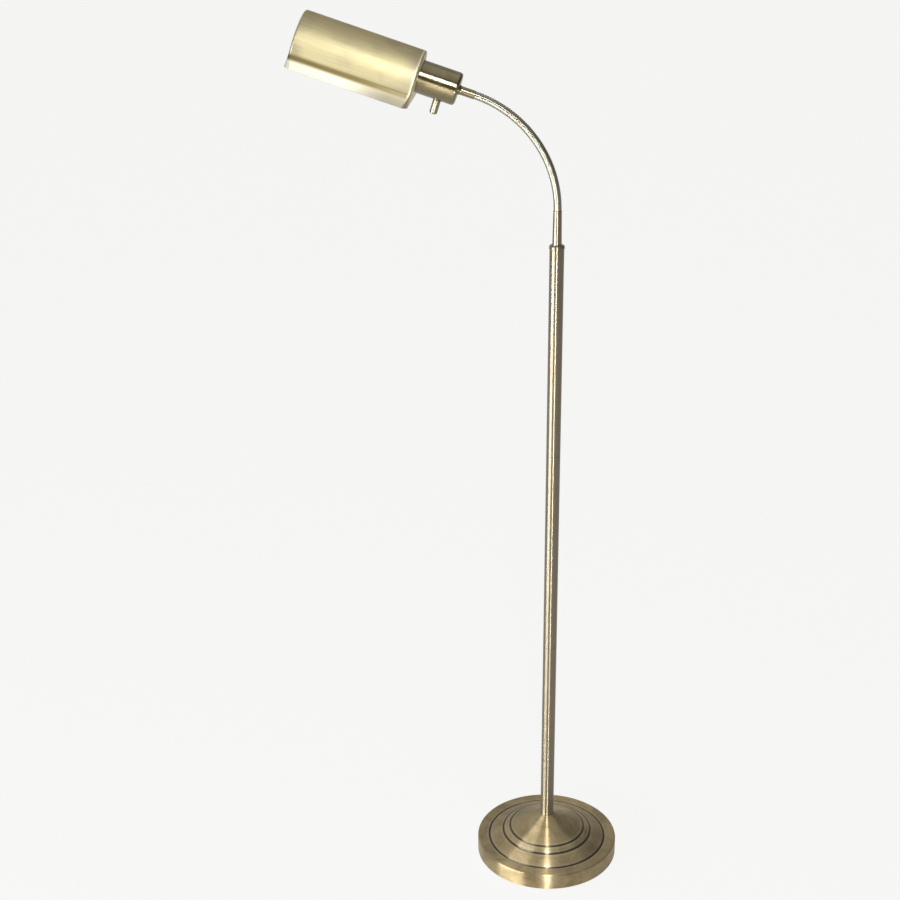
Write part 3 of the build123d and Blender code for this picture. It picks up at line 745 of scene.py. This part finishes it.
def flare_levels():
    """The mouth's levels from the arch down: each one's drop and its share of the side and end flare.

    The ends stay upright as far down as the cup reaches, and flare below it.
    """
    levels = [(arch_drop, 0, 0), (crease_drop, 0, 0)]
    below_cup = (cup_radius - crease_drop) / flare_drop
    for step in range(1, flare_steps + 1):
        part_way = step / flare_steps
        end_part = max(0, (part_way - below_cup) / (1 - below_cup))
        levels.append((crease_drop + flare_drop * part_way, part_way**side_flare_power,
                       end_part**end_flare_power))
    return levels


def corner_rounding(wide):
    """How round the trough's corners are at a share of the side flare."""
    return shade_edge_round + (mouth_corner_round - shade_edge_round) * wide


def open_out(bm, ring, level, next_level):
    """Moves a ring from one level of the mouth to the next, with its corners wider and rounder."""
    drop, wide, out = level
    next_drop, next_wide, next_out = next_level
    rounding = corner_rounding(wide)
    next_rounding = corner_rounding(next_wide)
    share = next_rounding / rounding
    reach = end_flare * (next_out - out)
    bmesh.ops.translate(bm, vec=(0, 0, (drop - next_drop) * MM), verts=ring)
    for end in (-1, 1):
        end_ring = [vert for vert in ring if end * (vert.co.x - shade_middle * MM) > 0]
        for side in (-1, 1):
            corner = [vert for vert in end_ring if side * vert.co.y > MM]
            middle = Vector((
                shade_middle + end * (half_length + end_flare * out - rounding),
                side * (arch_radius + side_flare * wide - rounding),
                -next_drop,
            )) * MM
            bmesh.ops.scale(bm, vec=(share, share, 1), space=Matrix.Translation(-middle), verts=corner)
            shift = Vector((
                end * (reach - next_rounding + rounding),
                side * (side_flare * (next_wide - wide) - next_rounding + rounding),
                0,
            )) * MM
            bmesh.ops.translate(bm, vec=shift, verts=corner)
        end_middle = [vert for vert in end_ring if abs(vert.co.y) <= MM]
        bmesh.ops.translate(bm, vec=(end * reach * MM, 0, 0), verts=end_middle)


def shade_sheet():
    """The outside of the trough as one sheet, made lying along X with its arch over Z."""
    bm = bmesh.new()
    outline = ((shade_start, 0), (shade_start, arch_radius), (shade_end, arch_radius), (shade_end, 0))
    corners = [bm.verts.new((out * MM, wide * MM, -arch_drop * MM)) for out, wide in outline]
    for first, second in zip(corners, corners[1:]):
        bm.edges.new((first, second))
    for corner in corners[1:3]:
        round_corner(bm, corner, shade_edge_round)
    bmesh.ops.spin(bm, geom=bm.verts[:] + bm.edges[:], cent=(0, 0, -arch_drop * MM), axis=(1, 0, 0),
                   angle=pi, steps=arch_turn, use_merge=False)
    bmesh.ops.remove_doubles(bm, verts=bm.verts, dist=weld * MM)
    edges = [edge for edge in bm.edges if edge.is_boundary]
    levels = flare_levels()
    for level, next_level in zip(levels, levels[1:]):
        ring, edges = next_ring(bm, edges)
        open_out(bm, ring, level, next_level)
    bmesh.ops.recalc_face_normals(bm, faces=bm.faces)
    bmesh.ops.transform(bm, matrix=along_shade, verts=bm.verts)
    return bm


shade = as_object("shade_drawn", shade_sheet(), shade_brass, enamel)
wall = shade.modifiers.new("sheet wall", "SOLIDIFY")
wall.thickness = shade_wall * MM
wall.offset = -1
wall.use_even_offset = True
wall.material_offset = 1
wall.material_offset_rim = 0
drill(shade, along_head, sleeve_hole, start=-2, end=4)
settle(shade, "shade_trough", "shade_brass", "shade")


def pale_share(tree, seen, mirrored):
    """How much plain pale backdrop a ray meets: the camera's own, and one that metal or glass sends on."""
    ray = add(tree, "LightPath", {})
    sent_on = add(tree, "Math", {0: ray.outputs["Is Glossy Ray"], 1: ray.outputs["Is Transmission Ray"]},
                  operation="MAXIMUM")
    sent_on = add(tree, "Math", {0: sent_on, 1: mirrored}, operation="MULTIPLY")
    return add(tree, "Math", {0: ray.outputs["Is Camera Ray"], 1: seen, 2: sent_on},
               operation="MULTIPLY_ADD")


# Floor: pale studio paint, softly mottled, that keeps the lamp's faint shadow
floor_reach_metres = 30
floor_mottle = 400
bm = bmesh.new()
bmesh.ops.create_grid(bm, x_segments=1, y_segments=1, size=floor_reach_metres)
floor_paint, tree = new_material("pale_studio_floor")
place = add(tree, "TexCoord", {}).outputs["Object"]
grain = add(tree, "TexNoise", {"Vector": place, "Scale": per_mm(floor_mottle), "Detail": 2.0})
tint = add(tree, "Mix", {"Factor": grain.outputs["Fac"], "A": linear("#cfcecc"), "B": linear("#d5d5d4")},
           data_type="RGBA")
paint = add(tree, "BsdfPrincipled", {"Base Color": tint, "Roughness": 0.9, "Specular IOR Level": 0.1})
white = add(tree, "Emission", {"Color": linear("#fdfdfc"), "Strength": 1.0})
ground = add(tree, "MixShader", {0: pale_share(tree, seen=0.9, mirrored=0.2), 1: paint, 2: white})
add(tree, "OutputMaterial", {"Surface": ground})
floor = as_object("studio_floor", bm, floor_paint)

# Air: soft light that is strongest from the upper left, with a pale backdrop behind the lamp
brighter_side = Vector((-0.75, 0.3, 0.6)).normalized()
brightest = 0.48
world = bpy.data.worlds.new("studio_air")
world.use_nodes = True
world.node_tree.nodes.clear()
tree = world.node_tree
sky = add(tree, "TexCoord", {}).outputs["Generated"]
lean = add(tree, "VectorMath", {0: sky, 1: brighter_side}, operation="DOT_PRODUCT").outputs["Value"]
level = add(tree, "MapRange", {"Value": lean, "From Min": -0.2, "From Max": 1.0, "To Min": 0.0,
                               "To Max": brightest})
air = add(tree, "Background", {"Color": linear("#ffffff"), "Strength": level})
backdrop = add(tree, "Background", {"Color": linear("#f8f8f7"), "Strength": 1.0})
around = add(tree, "MixShader", {0: pale_share(tree, seen=1.0, mirrored=0.1), 1: air, 2: backdrop})
add(tree, "OutputWorld", {"Surface": around})
bpy.context.scene.world = world


def lamp(name, kind, place, aim, power, **settings):
    """A lamp at a place, in metres, turned towards its aim."""
    light = bpy.data.lights.new(name, kind)
    light.energy = power
    for setting, value in settings.items():
        setattr(light, setting, value)
    holder = bpy.data.objects.new(name, light)
    holder.location = place
    holder.rotation_mode = "QUATERNION"
    holder.rotation_quaternion = (Vector(aim) - Vector(place)).to_track_quat("-Z", "Y")
    bpy.context.scene.collection.objects.link(holder)


# Lamps: soft fill from above, a window that lights the left sectors, and two panes for the front stripes
lamp("overhead_soft", "SUN", place=(0, 0, 4), aim=(0, 0, 0), power=0.3, angle=radians(70))
lamp("window_left", "AREA", place=(-2.24, -1.86, 0.45), aim=(0, 0, 0.45), power=83,
     shape="RECTANGLE", size=2.1, size_y=0.8)
lamp("front_strip", "AREA", place=(0.27, -2.62, 0.34), aim=(0, 0, 0.4), power=22,
     shape="RECTANGLE", size=0.15, size_y=0.6)
lamp("front_flash", "AREA", place=(0.27, -2.5, 2.6), aim=(0, 0, 0.9), power=31,
     shape="RECTANGLE", size=0.24, size_y=0.9)

# Camera: the photograph's viewpoint, in metres, looking down and a little to the left
camera_place = Vector((0.137219, -2.243512, 1.634301))
camera_tilt = radians(66.25574)
camera_roll = radians(0.37854)
camera_heading = radians(6.886)
camera_data = bpy.data.cameras.new("photo_camera")
camera_data.lens = 72.752
camera_data.sensor_width = 36
camera = bpy.data.objects.new("photo_camera", camera_data)
camera_turn = Euler((camera_tilt, camera_roll, camera_heading)).to_matrix().to_4x4()
camera.matrix_world = Matrix.Translation(camera_place) @ camera_turn
bpy.context.scene.collection.objects.link(camera)
bpy.context.scene.camera = camera
bpy.context.scene.view_settings.view_transform = "Standard"
